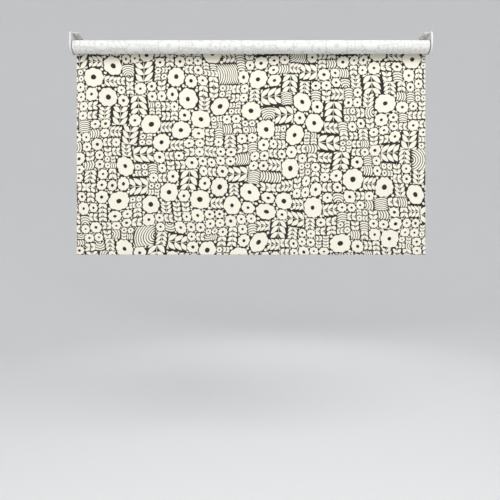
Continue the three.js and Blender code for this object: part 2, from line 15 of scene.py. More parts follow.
import bmesh
import bpy
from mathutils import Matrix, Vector

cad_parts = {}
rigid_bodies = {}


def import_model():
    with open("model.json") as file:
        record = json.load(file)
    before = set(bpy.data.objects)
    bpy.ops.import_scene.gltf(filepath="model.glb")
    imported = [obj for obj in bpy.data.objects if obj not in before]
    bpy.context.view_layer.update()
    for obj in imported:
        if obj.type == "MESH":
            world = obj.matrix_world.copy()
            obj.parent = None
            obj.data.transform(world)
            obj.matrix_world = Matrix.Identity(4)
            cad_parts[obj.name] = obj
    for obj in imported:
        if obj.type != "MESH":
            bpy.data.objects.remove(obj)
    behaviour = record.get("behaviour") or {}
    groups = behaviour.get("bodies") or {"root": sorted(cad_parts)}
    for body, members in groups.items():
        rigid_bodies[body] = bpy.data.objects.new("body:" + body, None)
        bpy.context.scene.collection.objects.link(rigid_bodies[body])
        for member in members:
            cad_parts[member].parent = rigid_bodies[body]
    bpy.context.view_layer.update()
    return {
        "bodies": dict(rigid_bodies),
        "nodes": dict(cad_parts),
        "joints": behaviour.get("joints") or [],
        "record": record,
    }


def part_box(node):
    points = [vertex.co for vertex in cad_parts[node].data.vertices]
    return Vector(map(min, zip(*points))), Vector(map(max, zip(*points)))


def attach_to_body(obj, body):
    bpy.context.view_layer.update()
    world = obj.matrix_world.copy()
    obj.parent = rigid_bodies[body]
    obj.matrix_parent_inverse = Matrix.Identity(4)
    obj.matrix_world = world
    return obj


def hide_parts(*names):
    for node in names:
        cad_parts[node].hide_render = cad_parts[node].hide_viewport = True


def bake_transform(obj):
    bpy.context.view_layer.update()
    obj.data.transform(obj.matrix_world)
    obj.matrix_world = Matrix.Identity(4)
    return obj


LOG = logging.getLogger("roller_blind")
MM = 0.001
WELD_DISTANCE = 1e-6
SLIVER = 5e-6
FOLD_SLIVER = 20e-6
FLAT_ANGLE = math.radians(0.5)
EVEN_WEIGHT = 100

Colour = tuple[float, float, float]
Point = tuple[float, float]
FoldTest = Callable[[Vector], bool]


def smooth(share: float) -> float:
    """A share from 0 to 1, eased in and out."""
    return share * share * (3 - 2 * share)


class Side(Enum):
    """An end of the blind, as its direction along X."""

    LEFT = -1
    RIGHT = 1


class Body(Enum):
    """A body of the frame that pieces ride on."""

    BRACKETS = "brackets"
    ROLLER = "roller"
    IDLE_PIN = "idle_pin"
    HEM = "hem"


class Slot(Enum):
    """A material slot of the record."""

    WHITE_STEEL = "white_steel"
    WHITE_PLASTIC = "white_plastic"
    GREY_PLASTIC = "grey_plastic"
    NYLON = "nylon"
    ZINC_STEEL = "zinc_steel"
    SPRING_STEEL = "spring_steel"
    ALUMINIUM = "aluminium"
    PRINTED_CLOTH = "printed_cloth"
    CLOTH_BACK = "cloth_back"


# ------------------------------------------------------------------ node graphs


def arithmetic(operation: str) -> Callable[..., "Wire"]:
    """A method of Wire that takes one arithmetic step.

    Args:
        operation: the Math node's operation.

    Returns:
        The method.
    """

    def step(self: "Wire", *others: "Feed") -> "Wire":
        """What the step makes of this value, and of another where it takes two."""
        return self.graph.math(operation, self, *others)

    return step


class Wire:
    """A number, colour or vector that runs through a node graph.

    A comparison gives 1 where it holds and 0 elsewhere. Angles are in radians.
    """

    __add__ = arithmetic("ADD")
    __sub__ = arithmetic("SUBTRACT")
    __mul__ = arithmetic("MULTIPLY")
    __truediv__ = arithmetic("DIVIDE")
    __pow__ = arithmetic("POWER")
    __abs__ = arithmetic("ABSOLUTE")
    below = arithmetic("LESS_THAN")
    above = arithmetic("GREATER_THAN")
    floor = arithmetic("FLOOR")
    fraction = arithmetic("FRACT")
    sine = arithmetic("SINE")
    cosine = arithmetic("COSINE")

    def __init__(self, graph: "Graph", socket: bpy.types.NodeSocket) -> None:
        """Keeps the graph and the socket that the value comes out of."""
        self.graph = graph
        self.socket = socket

    def __rsub__(self, other: float) -> "Wire":
        """A plain number less this."""
        return self.graph.math("SUBTRACT", other, self)


Feed = Wire | float | Sequence[float]
Wires = dict[str, Wire]


class Graph:
    """A thin hand on a node tree, so that a pattern reads as sums."""

    def __init__(self, tree: bpy.types.NodeTree) -> None:
        """Keeps the tree that nodes are added to."""
        self.tree = tree

    def node(self, kind: str, *values: Feed, **settings: object) -> bpy.types.Node:
        """Adds a node.

        Args:
            kind: the node's type name.
            values: what goes into its first inputs, in order.
            settings: properties to set on it.

        Returns:
            The new node.
        """
        node = self.tree.nodes.new(kind)
        for name, value in settings.items():
            setattr(node, name, value)
        for socket, value in zip(node.inputs, values):
            self.feed(socket, value)
        return node

    def feed(self, socket: bpy.types.NodeSocket, value: Feed) -> None:
        """Links a wire to a socket, or sets a plain value on it.

        Args:
            socket: the input to fill.
            value: a wire or a plain value.
        """
        if isinstance(value, Wire):
            self.tree.links.new(value.socket, socket)
        else:
            socket.default_value = value

    def math(self, operation: str, *values: Feed, clamp: bool = False) -> Wire:
        """One arithmetic step.

        Args:
            operation: the Math node's operation.
            values: its inputs, in order.
            clamp: whether the result is held between 0 and 1.

        Returns:
            The result.
        """
        node = self.node("ShaderNodeMath", *values, operation=operation, use_clamp=clamp)
        return Wire(self, node.outputs[0])

    def larger(self, first: Feed, *others: Feed) -> Wire:
        """The largest of some values."""
        return reduce(lambda one, two: self.math("MAXIMUM", one, two), others, first)

    def smaller(self, first: Feed, *others: Feed) -> Wire:
        """The smallest of some values."""
        return reduce(lambda one, two: self.math("MINIMUM", one, two), others, first)

    def length(self, x: Wire, y: Wire) -> Wire:
        """The length of a vector in the plane."""
        return (x * x + y * y) ** 0.5

    def mix(self, share: Feed, first: Feed, second: Feed) -> Wire:
        """A number between two others.

        Args:
            share: 0 for the first, 1 for the second.
            first: a number.
            second: another.

        Returns:
            The mixed number.
        """
        node = self.node("ShaderNodeMix", share, data_type="FLOAT")
        for socket, value in zip(node.inputs[2:4], (first, second)):
            self.feed(socket, value)
        return Wire(self, node.outputs[0])

    def tint(self, share: Feed, first: Feed, second: Feed) -> Wire:
        """A colour between two others.

        Args:
            share: 0 for the first, 1 for the second.
            first: a colour.
            second: another.

        Returns:
            The mixed colour.
        """
        node = self.node("ShaderNodeMix", share, data_type="RGBA")
        for socket, value in zip(node.inputs[6:8], (first, second)):
            self.feed(socket, (*value, 1.0) if isinstance(value, tuple) else value)
        return Wire(self, node.outputs[2])

    def ramp(self, value: Wire, low: float, high: float) -> Wire:
        """Runs smoothly from 0 at one value to 1 at another.

        Args:
            value: the wire to read.
            low: the value that gives 0.
            high: the value that gives 1.

        Returns:
            The share between them.
        """
        node = self.node("ShaderNodeMapRange", value, low, high, interpolation_type="SMOOTHSTEP")
        return Wire(self, node.outputs[0])

    def vector(self, x: Feed, y: Feed, z: Feed = 0.0) -> Wire:
        """Three numbers as one vector."""
        return Wire(self, self.node("ShaderNodeCombineXYZ", x, y, z).outputs[0])

    def parts(self, vector: Wire) -> tuple[Wire, Wire, Wire]:
        """A vector or colour as its three numbers."""
        node = self.node("ShaderNodeSeparateXYZ", vector)
        return tuple(Wire(self, socket) for socket in node.outputs)

    def noise(self, vector: Wire, scale: float, detail: float = 2.0) -> tuple[Wire, Wire]:
        """Soft noise.

        Args:
            vector: where it is read.
            scale: how many lumps there are to a unit.
            detail: how many finer layers are added.

        Returns:
            The noise's value and its colour.
        """
        node = self.node("ShaderNodeTexNoise", vector)
        node.inputs["Scale"].default_value = scale
        node.inputs["Detail"].default_value = detail
        return Wire(self, node.outputs[0]), Wire(self, node.outputs[1])

    def lot(self, column: Feed, row: Feed, draw: float) -> tuple[Wire, Wire, Wire]:
        """Three even random numbers for one cell of a grid.

        Args:
            column: the cell's column.
            row: the cell's row.
            draw: a different number for each separate draw.

        Returns:
            The three numbers, from 0 to 1.
        """
        cell = self.vector(column, row, draw)
        node = self.node("ShaderNodeTexWhiteNoise", cell, noise_dimensions="3D")
        return self.parts(Wire(self, node.outputs["Color"]))

    def use(self, tree: bpy.types.NodeTree, **values: Feed) -> Wires:
        """Places a node group.

        Args:
            tree: the group.
            values: what goes into its inputs, by name.

        Returns:
            Its outputs, by name.
        """
        node = self.node("ShaderNodeGroup", node_tree=tree)
        for name, value in values.items():
            self.feed(node.inputs[name], value)
        return {socket.name: Wire(self, socket) for socket in node.outputs}


Draw = Callable[..., Wires]
Group = Callable[..., bpy.types.NodeTree]


def effect(name: str, inputs: dict[str, float | None], outputs: Sequence[str]
           ) -> Callable[[Draw], Group]:
    """Turns a function that draws nodes into one that gives a shader node group.

    Args:
        name: the group's name.
        inputs: its inputs, each with its starting value, or None for a vector.
        outputs: the names of its outputs.

    Returns:
        What goes over the drawing function.
    """

    def cover(draw: Draw) -> Group:
        """Ties the group to its drawing function.

        Args:
            draw: adds the group's nodes and returns a wire for each output.

        Returns:
            A function that gives the group.
        """

        def group(*owner: object) -> bpy.types.NodeTree:
            """The group, made the first time that it is asked for.

            Args:
                owner: the design that the drawing function is a method of, if it is one.

            Returns:
                The group.
            """
            if name in bpy.data.node_groups:
                return bpy.data.node_groups[name]
            tree = bpy.data.node_groups.new(name, "ShaderNodeTree")
            for label, start in inputs.items():
                kind = "NodeSocketVector" if start is None else "NodeSocketFloat"
                socket = tree.interface.new_socket(label, in_out="INPUT", socket_type=kind)
                if start is not None:
                    socket.default_value = start
            for label in outputs:
                tree.interface.new_socket(label, in_out="OUTPUT", socket_type="NodeSocketFloat")
            graph = Graph(tree)
            entry = graph.node("NodeGroupInput")
            leave = graph.node("NodeGroupOutput")
            given = {label: Wire(graph, entry.outputs[label]) for label in inputs}
            for label, wire in draw(*owner, graph, given).items():
                graph.feed(leave.inputs[label], wire)
            return tree

        return group

    return cover


# ------------------------------------------------------------------ the cloth's print


@dataclass(frozen=True)
class PrintDesign:
    """A dense print of blossoms, leafy sprigs and combs, packed in squares of two sizes.

    The squares lie in a pinwheel, so that no row or column runs through. Each holds one motif
    or is quartered, and each quarter holds one. The shares say how often each thing is drawn,
    and wander_mm gives the spacing and the reach of each of the lines' wavers.
    """

    large_mm: float = 53.0
    small_mm: float = 35.0
    large_whole: float = 0.50
    small_whole: float = 0.76
    whole_blossoms: float = 0.57
    whole_sprigs: float = 0.94
    quarter_blossoms: float = 0.46
    quarter_sprigs: float = 0.83
    gap_mm: float = 0.45
    edge_gap: float = 0.6
    blush_from: float = 0.72
    wander_mm: tuple[Point, ...] = ((120.0, 26.0), (7.0, 1.2))

    @effect("blossom", {"X": 0.0, "Y": 0.0, "Half": 13.0, "Square": 0.5, "Count": 0.5,
                        "Eye": 0.5}, ["Ink"])
    def blossom(self, graph: Graph, given: Wires) -> Wires:
        """A scalloped blossom with a dark eye, and a bud in each corner of its square.

        Args:
            graph: where the nodes go.
            given: a wire for each input.

        Returns:
            The depth of ink in millimetres.
        """
        roundest, squarer = 2.0, 0.6
        fewest_lobes, more_lobes = 6.0, 4.99
        notch_mm, notch_share, scallop_power = 1.0, 0.08, 0.7
        eye_mm, eye_share, eye_spread = 0.3, 0.19, 0.08
        bud_place, bud_share, bud_less = 0.85, 0.15, 0.3
        x, y, half, square = given["X"], given["Y"], given["Half"], given["Square"]
        power = square * square * squarer + roundest
        reach = (abs(x) ** power + abs(y) ** power) ** graph.math("DIVIDE", 1.0, power)
        turn = graph.math("ARCTAN2", y, x)
        lobes = (given["Count"] * more_lobes).floor() + fewest_lobes
        scallop = abs((turn * lobes * 0.5).cosine()) ** scallop_power
        notch = (half * notch_share + notch_mm) * (1.0 - scallop)
        outside = reach - (half - self.gap_mm - notch)
        corner = graph.length(abs(x) - half * bud_place, abs(y) - half * bud_place)
        outside = graph.smaller(outside, corner - half * bud_share + bud_less)
        eye = half * (given["Eye"] * eye_spread + eye_share) + eye_mm - graph.length(x, y)
        return {"Ink": graph.larger(outside, eye)}

    @effect("sprig", {"X": 0.0, "Y": 0.0, "Half": 13.0}, ["Ink"])
    def sprig(self, graph: Graph, given: Wires) -> Wires:
        """A thin stem with pairs of curved leaves, three pairs or, in a small square, two.

        Args:
            graph: where the nodes go.
            given: a wire for each input.

        Returns:
            The depth of ink in millimetres.
        """
        three_pairs, two_pairs, few_below = 2 / 3, 1.0, 14.0
        lean, bow, leaf_drop, stem_mm = math.radians(30), 0.21, 0.08, 0.6
        leaf_middle, leaf_reach, leaf_share = 0.58, 0.56, 0.37
        half = given["Half"]
        x, y = abs(given["X"]) / half, given["Y"] / half
        pitch = graph.mix(half.below(few_below), three_pairs, two_pairs)
        up = ((y + 1.0) / pitch).fraction() * pitch
        leaves = x + 1.0
        for step in (0.0, 1.0):
            rise = pitch * step + up - leaf_drop
            along = x * math.cos(lean) + rise * math.sin(lean)
            aside = rise * math.cos(lean) - x * math.sin(lean) - along * along * bow
            swell = (along - leaf_middle) / leaf_reach
            leaf = abs(aside) - (1.0 - swell * swell) * pitch * leaf_share
            leaves = graph.smaller(leaves, leaf)
        ink = graph.smaller(leaves * half, abs(given["X"]) - stem_mm)
        edge = graph.larger(abs(y), x) * half - (half - self.gap_mm * self.edge_gap)
        return {"Ink": graph.larger(ink, edge)}

    @effect("comb", {"X": 0.0, "Y": 0.0, "Half": 13.0, "Nest": 0.0}, ["Ink"])
    def comb(self, graph: Graph, given: Wires) -> Wires:
        """A row of crescents or a nest of arches.

        Args:
            graph: where the nodes go.
            given: a wire for each input.

        Returns:
            The depth of ink in millimetres.
        """
        tooth_pitch, tooth_share, bow = 6.2, 0.34, 0.36
        nest_from, nest_below = 0.62, 1.05
        taper_gap, taper_power = 0.8, 8.0
        half, x, y = given["Half"], given["X"], given["Y"]
        teeth = (half * (2 / tooth_pitch) + 0.5).floor()
        pitch = half * 2.0 / teeth
        row = x + half + y * y / half * bow
        nest = graph.length(x, y + half * nest_below)
        line = graph.mix(given["Nest"].above(nest_from), row, nest)
        across = abs((line / pitch).fraction() - 0.5) * pitch
        taper = (abs(y) / (half - self.gap_mm * taper_gap)) ** taper_power
        ink = across - (1.0 - taper) * pitch * tooth_share
        edge = graph.larger(abs(x), abs(y)) - (half - self.gap_mm * self.edge_gap)
        return {"Ink": graph.larger(ink, edge)}

    @effect("pinwheel", {"U": 0.0, "V": 0.0}, ["X", "Y", "Column", "Row", "Small"])
    def pinwheel(self, graph: Graph, given: Wires) -> Wires:
        """Which square of the pinwheel a point of the cloth is in.

        Args:
            graph: where the nodes go.
            given: a wire for each input.

        Returns:
            The point inside the square, the square's number, and whether it is a small one.
        """
        large, small = self.large_mm, self.small_mm
        area = large * large + small * small
        u, v = given["U"], given["V"]
        column = (u * (large / area) + v * (small / area)).floor()
        row = (v * (large / area) - u * (small / area)).floor()
        x = u - column * large + row * small
        y = v - column * small - row * large
        over = 1.0 - y.below(large)
        left = x.below(0.0) * (1.0 - over)
        high = left * (1.0 - y.below(large - small))
        is_small = over * (1.0 - x.below(large - small)) + high
        rise = over + high
        x = x + left * large + rise * small - is_small * large
        y = y + left * small - rise * large
        return {"X": x, "Y": y, "Column": column - left, "Row": row + rise, "Small": is_small}

    @effect("print", {"U": 0.0, "V": 0.0, "Soft": 0.3}, ["Ink", "Blush"])
    def printed(self, graph: Graph, given: Wires) -> Wires:
        """The whole print.

        Args:
            graph: where the nodes go.
            given: a wire for each input.

        Returns:
            How much ink lies at a point of the cloth, and how blushed its ground is.
        """
        square_draw, quarter_draw, small_rows = 5.0, 9.0, 57.0
        eye_shuffle, way_shuffle, blush_shuffle = 7.3, 7.1, 3.7
        u, v = self.wandering(graph, given["U"], given["V"])
        square = graph.use(self.pinwheel(), U=u, V=v)
        x, y, small = square["X"], square["Y"], square["Small"]
        column, row = square["Column"], square["Row"] + small * small_rows
        size = graph.mix(small, self.large_mm, self.small_mm)
        lots = graph.lot(column, row, square_draw)
        whole_share = graph.mix(small, self.large_whole, self.small_whole)
        whole = lots[0].below(whole_share)
        half_x, half_y = (x / size * 2.0).floor(), (y / size * 2.0).floor()
        quarter = graph.lot(column + half_x * 0.5, row + half_y * 0.5, quarter_draw)
        kind = graph.mix(whole, quarter[0], lots[0] / whole_share)
        one, two = (graph.mix(whole, quarter[i], lots[i]) for i in (1, 2))
        half = graph.mix(whole, size * 0.25, size * 0.5)
        x = graph.mix(whole, x - (half_x + 0.5) * size * 0.5, x - half)
        y = graph.mix(whole, y - (half_y + 0.5) * size * 0.5, y - half)
        blossoms = kind.below(graph.mix(whole, self.quarter_blossoms, self.whole_blossoms))
        sprigs = kind.below(graph.mix(whole, self.quarter_sprigs, self.whole_sprigs))
        blossom = graph.use(self.blossom(), X=x, Y=y, Half=half, Square=one, Count=two,
                            Eye=(one * eye_shuffle).fraction())["Ink"]
        turned = two.above(0.5)
        upright = (two * way_shuffle).fraction().above(0.5) * 2.0 - 1.0
        turned_x, turned_y = graph.mix(turned, x, y), graph.mix(turned, y, x) * upright
        sprig = graph.use(self.sprig(), X=turned_x, Y=turned_y, Half=half)["Ink"]
        comb = graph.use(self.comb(), X=turned_x, Y=turned_y, Half=half, Nest=one)["Ink"]
        ink = graph.mix(blossoms, graph.mix(sprigs, comb, sprig), blossom)
        depth = graph.math("ADD", ink / (given["Soft"] * 2.0), 0.5, clamp=True)
        blush = graph.ramp((one * blush_shuffle).fraction(), self.blush_from, 1.0)
        return {"Ink": depth, "Blush": blush}

    def wandering(self, graph: Graph, u: Wire, v: Wire) -> tuple[Wire, Wire]:
        """Cloth coordinates with a drawn line's small waver and squares of uneven size.

        Args:
            graph: where the nodes go.
            u: millimetres across the cloth.
            v: millimetres up the cloth.

        Returns:
            The moved coordinates.
        """
        place = graph.vector(u, v)
        for spacing, reach in self.wander_mm:
            _, drift = graph.noise(place, 1 / spacing, 0.0)
            du, dv, _ = graph.parts(drift)
            u = u + (du - 0.5) * reach
            v = v + (dv - 0.5) * reach
        return u, v


@effect("weave", {"U": 0.0, "V": 0.0, "Pitch": 0.55}, ["Height", "Slub"])
def weave_effect(graph: Graph, given: Wires) -> Wires:
    """A plain weave.

    Args:
        graph: where the nodes go.
        given: a wire for each input.

    Returns:
        The height of the threads, and how much each thread differs.
    """
    along_share, slub_scale, even_from, uneven_from = 0.02, 0.31, 0.32, 0.68
    warp = given["U"] / given["Pitch"]
    weft = given["V"] / given["Pitch"]
    over = (warp * math.pi).sine() * (weft * math.pi).sine()
    threads = graph.vector(warp.floor(), weft.floor() * along_share)
    slub, _ = graph.noise(threads, slub_scale, 1.0)
    crossing = graph.vector(warp.floor() * along_share, weft.floor())
    slub_across, _ = graph.noise(crossing, slub_scale, 1.0)
    uneven = (graph.ramp(slub, even_from, uneven_from)
              + graph.ramp(slub_across, even_from, uneven_from))
    return {"Height": over * 0.5 + 0.5, "Slub": uneven * 0.5}


@effect("grain", {"Place": None}, ["Height", "Marks"])
def grain_effect(graph: Graph, given: Wires) -> Wires:
    """Fine surface grain and broad handling marks, for paint, plastic and metal.

    Args:
        graph: where the nodes go.
        given: a wire for each input.

    Returns:
        The grain's height, and where the marks are.
    """
    broad_share, clean_from, marked_from = 0.02, 0.42, 0.68
    fine, _ = graph.noise(given["Place"], 1.0, 3.0)
    x, y, z = graph.parts(given["Place"])
    broad_place = graph.vector(x * broad_share, y * broad_share, z * broad_share)
    broad, _ = graph.noise(broad_place, 1.0, 4.0)
    return {"Height": fine, "Marks": graph.ramp(broad, clean_from, marked_from)}


@effect("wear_and_highlight", {"Place": None, "Amount": 0.5}, ["Mask"])
def wear_and_highlight_effect(graph: Graph, given: Wires) -> Wires:
    """Where edges have been rubbed, and where they are painted lighter as a highlight: the eased
    corners, broken up by noise.

    Args:
        graph: where the nodes go.
        given: a wire for each input.

    Returns:
        How much each place is rubbed and painted with an edge highlight.
    """
    corner_from, corner_to, patch_scale, patch_from, patch_to = 0.515, 0.60, 0.35, 0.40, 0.62
    sharp = Wire(graph, graph.node("ShaderNodeNewGeometry").outputs["Pointiness"])
    broken, _ = graph.noise(given["Place"], patch_scale, 3.0)
    corner = graph.ramp(sharp, corner_from, corner_to)
    return {"Mask": corner * graph.ramp(broken, patch_from, patch_to) * given["Amount"]}


# ------------------------------------------------------------------ finishes


def shade_of(colour: Colour, factor: float) -> Colour:
    """A lighter or darker shade of a colour."""
    return tuple(min(1.0, factor * part) for part in colour)


@dataclass(frozen=True)
class Finish:
    """A material's name and the record's slot that it belongs to."""

    name: str
    slot: Slot

    def material(self) -> bpy.types.Material:
        """The finish as a material, made the first time that it is asked for.

        Returns:
            The material.
        """
        found = bpy.data.materials.get(self.name)
        if found:
            return found
        material = bpy.data.materials.new(self.name)
        material.use_nodes = True
        tree = material.node_tree
        tree.nodes.clear()
        graph = Graph(tree)
        shader = graph.node("ShaderNodeBsdfPrincipled")
        leave = graph.node("ShaderNodeOutputMaterial")
        tree.links.new(shader.outputs[0], leave.inputs[0])
        self.dress(graph, shader)
        return material

    def dress(self, graph: Graph, shader: bpy.types.Node) -> None:
        """Adds the finish's own nodes. Each finish has its own way."""
        raise NotImplementedError

    def place_mm(self, graph: Graph, stretch: Sequence[float] = (1.0, 1.0, 1.0)) -> Wire:
        """The point on the piece in millimetres, stretched along each axis.

        Args:
            graph: where the nodes go.
            stretch: a factor for each axis.

        Returns:
            The point.
        """
        place = Wire(graph, graph.node("ShaderNodeTexCoord").outputs["Object"])
        scaled = (part * (factor / MM) for part, factor in zip(graph.parts(place), stretch))
        return graph.vector(*scaled)

    def bump(self, graph: Graph, shader: bpy.types.Node, height: Wire, depth_mm: float,
             strength: float = 1.0) -> None:
        """Feeds a height to the shader's normal.

        Args:
            graph: where the nodes go.
            shader: the shader to feed.
            height: the height, from 0 to 1.
            depth_mm: what a height of 1 stands for.
            strength: how strongly it shows.
        """
        node = graph.node("ShaderNodeBump")
        node.inputs["Strength"].default_value = strength
        node.inputs["Distance"].default_value = depth_mm * MM
        graph.feed(node.inputs["Height"], height)
        graph.tree.links.new(node.outputs[0], shader.inputs["Normal"])


@dataclass(frozen=True)
class Coating(Finish):
    """Powder coat or moulded plastic: an even colour with grain, handling marks, and rubbed edges
    painted lighter, partly as wear and partly as a painted highlight.
    """

    colour: Colour
    marked: Colour
    rough: float
    rough_spread: float = 0.12
    grain_mm: float = 0.35
    depth_mm: float = 0.03
    relief: float = 0.6
    marks: float = 0.55
    wear_and_highlight: float = 0.4
    worn_and_highlight_lift: float = 1.08
    worn_gloss: float = 0.12
    coat: float = 0.0
    coat_rough: float = 0.25

    def dress(self, graph: Graph, shader: bpy.types.Node) -> None:
        """Adds the coating's nodes.

        Args:
            graph: where the nodes go.
            shader: the shader to feed.
        """
        fine = 1 / self.grain_mm
        grain = graph.use(grain_effect(), Place=self.place_mm(graph, (fine, fine, fine)))
        worn_and_highlit = graph.use(wear_and_highlight_effect(), Place=self.place_mm(graph), Amount=self.wear_and_highlight)["Mask"]
        ground = graph.tint(grain["Marks"] * self.marks, self.colour, self.marked)
        # Convex edges are painted lighter: partly rubbed wear, partly a painted edge highlight.
        lighter = shade_of(self.colour, self.worn_and_highlight_lift)
        graph.feed(shader.inputs["Base Color"], graph.tint(worn_and_highlit, ground, lighter))
        rough = grain["Marks"] * self.rough_spread + self.rough
        graph.feed(shader.inputs["Roughness"], rough - worn_and_highlit * self.worn_gloss)
        shader.inputs["Coat Weight"].default_value = self.coat
        shader.inputs["Coat Roughness"].default_value = self.coat_rough
        self.bump(graph, shader, grain["Height"], self.depth_mm, self.relief)


@dataclass(frozen=True)
class Metal(Finish):
    """Bare metal with drawing or turning lines, dull patches, and rubbed edges painted brighter,
    partly as wear and partly as a painted highlight.
    """

    colour: Colour
    dull: Colour
    rough: float
    line_stretch: tuple[float, float, float] = (0.05, 4.0, 4.0)
    line_rough: float = 0.18
    mark_stretch: float = 3.0
    mark_rough: float = 0.12
    depth_mm: float = 0.012
    relief: float = 0.5
    wear_and_highlight: float = 0.6
    worn_and_highlight_lift: float = 1.15

    def dress(self, graph: Graph, shader: bpy.types.Node) -> None:
        """Adds the metal's nodes.

        Args:
            graph: where the nodes go.
            shader: the shader to feed.
        """
        lines, _ = graph.noise(self.place_mm(graph, self.line_stretch), 1.0, 3.0)
        grain = graph.use(grain_effect(), Place=self.place_mm(graph, (self.mark_stretch,) * 3))
        worn_and_highlit = graph.use(wear_and_highlight_effect(), Place=self.place_mm(graph), Amount=self.wear_and_highlight)["Mask"]
        shade = graph.math("ADD", grain["Marks"] * 0.5, lines * 0.5, clamp=True)
        ground = graph.tint(shade, self.colour, self.dull)
        # Convex edges are painted brighter: partly rubbed wear, partly a painted edge highlight.
        bright = shade_of(self.colour, self.worn_and_highlight_lift)
        graph.feed(shader.inputs["Base Color"], graph.tint(worn_and_highlit, ground, bright))
        rough = lines * self.line_rough + grain["Marks"] * self.mark_rough + self.rough
        graph.feed(shader.inputs["Roughness"], rough)
        shader.inputs["Metallic"].default_value = 1.0
        self.bump(graph, shader, lines, self.depth_mm, self.relief)


@dataclass(frozen=True)
class Weld:
    """The pressed seam that closes the hem, in millimetres down and across, and in thread heights."""

    down_mm: float = 4.5
    half_mm: float = 2.0
    fade_mm: float = 2.6
    rib_mm: float = 2.4
    rib_height: float = 1.5
    depth: float = 2.2

    def height(self, graph: Graph, u: Wire, v: Wire, hem_z_mm: float) -> Wire:
        """How high the seam's ribs stand.

        Args:
            graph: where the nodes go.
            u: millimetres across the cloth.
            v: millimetres up the cloth.
            hem_z_mm: where the hem's top is, on the same scale as v.

        Returns:
            The height, with 1 for a thread's.
        """
        near = 1.0 - graph.ramp(abs(v - (hem_z_mm - self.down_mm)), self.half_mm, self.fade_mm)
        ribs = (u * (math.tau / self.rib_mm)).sine() * 0.5 + 0.5
        return near * (ribs * self.rib_height - self.depth)


@dataclass(frozen=True)
class Cloth(Finish):
    """Blind cloth: a plain weave that carries the print, full on its face and faint on its back.

    The shares say how much the blush, the threads' random tone, the painted shade in the weave's
    hollows and the clouds change the ground's shade.
    """

    follows: Body
    ground: Colour
    blush: Colour
    ink: Colour
    ink_share: float
    soft_mm: float
    sheen: float
    sheen_rough: float = 0.5
    specular: float = 0.18
    rough: float = 0.82
    slub_rough: float = 0.12
    ink_gloss: float = 0.06
    blush_share: float = 0.6
    darker_tone_and_shade: float = 0.80
    shade: float = 0.2
    slub_shade: float = 0.25
    hollow_painted_shade: float = -0.35
    cloud_shade: float = 0.2
    cloud_mm: float = 60.0
    slub_ink: float = -0.04
    weave_mm: float = 0.55
    weave_depth_mm: float = 0.10
    relief: float = 0.7
    hem_z_mm: float | None = None
    axis_z_mm: float = 0.0
    radius_mm: float | None = None
    design: PrintDesign = field(default_factory=PrintDesign)
    weld: Weld = field(default_factory=Weld)

    def dress(self, graph: Graph, shader: bpy.types.Node) -> None:
        """Adds the cloth's nodes.

        Args:
            graph: where the nodes go.
            shader: the shader to feed.
        """
        u, v = self.flat(graph)
        printed = graph.use(self.design.printed(), U=u, V=v, Soft=self.soft_mm)
        weave = graph.use(weave_effect(), U=u, V=v, Pitch=self.weave_mm)
        cloudy, _ = graph.noise(graph.vector(u, v), 1 / self.cloud_mm, 3.0)
        # The ground darkens with the threads' and clouds' random tone, and with painted shade in the
        # weave's hollows where the threads lie low.
        shade = (weave["Slub"] * self.slub_shade + weave["Height"] * self.hollow_painted_shade
                 + cloudy * self.cloud_shade + self.shade)
        ground = graph.tint(printed["Blush"] * self.blush_share, self.ground, self.blush)
        ground = graph.tint(shade, ground, shade_of(self.ground, self.darker_tone_and_shade))
        covered = printed["Ink"] * (weave["Slub"] * self.slub_ink + self.ink_share)
        graph.feed(shader.inputs["Base Color"], graph.tint(covered, ground, self.ink))
        rough = weave["Slub"] * self.slub_rough + self.rough - printed["Ink"] * self.ink_gloss
        graph.feed(shader.inputs["Roughness"], rough)
        shader.inputs["Sheen Weight"].default_value = self.sheen
        shader.inputs["Sheen Roughness"].default_value = self.sheen_rough
        shader.inputs["Specular IOR Level"].default_value = self.specular
        height = weave["Height"]
        if self.hem_z_mm is not None:
            height = height + self.weld.height(graph, u, v, self.hem_z_mm)
        self.bump(graph, shader, height, self.weave_depth_mm, self.relief)

    def flat(self, graph: Graph) -> tuple[Wire, Wire]:
        """Where a point lies on the cloth, as if it were unrolled.

        Args:
            graph: where the nodes go.

        Returns:
            Millimetres across and up the cloth, from the frame's origin at rest.
        """
        body = bpy.data.objects[f"body:{self.follows.value}"]
        source = graph.node("ShaderNodeTexCoord", object=body)
        x, y, z = (part * (1 / MM) for part in graph.parts(Wire(graph, source.outputs["Object"])))
        if self.radius_mm is None:
            return x, z
        turn = graph.math("ARCTAN2", z - self.axis_z_mm, y)
        wound = (turn / math.tau).fraction() * (math.tau * self.radius_mm)
        return x, wound + self.axis_z_mm


@dataclass(frozen=True)
class Paper(Finish):
    """The studio's plain pale ground."""

    colour: Colour
    cloud_mm: float = 900.0
    darker: float = 0.985
    rough: float = 0.9
    specular: float = 0.1

    def dress(self, graph: Graph, shader: bpy.types.Node) -> None:
        """Adds the ground's nodes.

        Args:
            graph: where the nodes go.
            shader: the shader to feed.
        """
        cloudy, _ = graph.noise(self.place_mm(graph), 1 / self.cloud_mm, 2.0)
        darker = shade_of(self.colour, self.darker)
        graph.feed(shader.inputs["Base Color"], graph.tint(cloudy, self.colour, darker))
        shader.inputs["Roughness"].default_value = self.rough
        shader.inputs["Specular IOR Level"].default_value = self.specular


